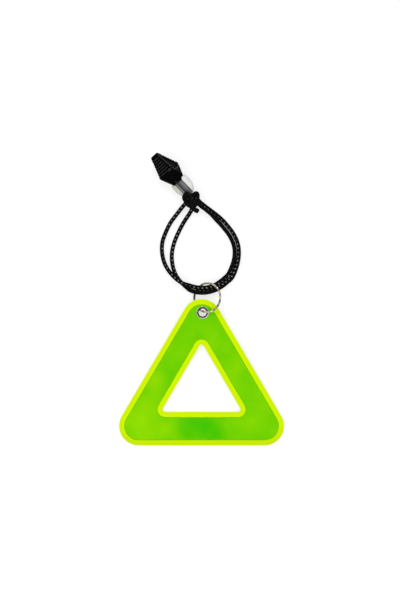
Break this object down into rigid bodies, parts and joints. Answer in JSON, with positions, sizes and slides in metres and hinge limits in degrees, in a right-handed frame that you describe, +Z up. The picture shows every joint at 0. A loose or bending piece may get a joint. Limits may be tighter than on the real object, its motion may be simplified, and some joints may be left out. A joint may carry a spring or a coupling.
{
  "type": "triangle reflector",
  "caption": "Soft triangular pedestrian reflector with a triangular hole, hung by an eyelet, a wire ring and a doubled elastic cord with a plug-in clip.",
  "frame": {"origin": "on the surface that the reflector lies on, below the middle of the reflector and its ring, without the cord and its clip", "axes": "+X to the right and +Y from the reflector's bottom edge towards its eyelet, seen from its front face; +Z up, out of the front face"},
  "size_m": [0.08, 0.1415, 0.0116],
  "materials": {
    "rim_pvc": "fluorescent yellow soft PVC, satin gloss",
    "prism_film": "micro-prismatic film, fluorescent green with a soft mottled sheen",
    "nickel": "bright nickel plate",
    "cord": "braided black elastic cord with light grey flecks",
    "clear_plastic": "clear moulded plastic, slightly cloudy",
    "black_plastic": "black moulded plastic, satin"
  },
  "bodies": {
    "reflector": {"base_sheet": "rim_pvc", "front_prism_film": "prism_film", "back_prism_film": "prism_film", "eyelet": "nickel", "cord": "cord", "cord_knot": "cord", "clip_plug": "clear_plastic"},
    "ring": {"wire_ring": "nickel"},
    "housing": {"clip_housing": "black_plastic"}
  },
  "joints": [
    {"name": "ring_swing", "type": "hinge", "parent": "reflector", "child": "ring", "pos_m": [0.0005, 0.0255, 0.00302], "axis": [0, -0.9968, 0.0799], "range_deg": [0, 127]},
    {"name": "clip_release", "type": "slide", "parent": "reflector", "child": "housing", "axis": [-0.692, 0.7166, 0.0872], "range_m": [0, 0.0075]}
  ]
}
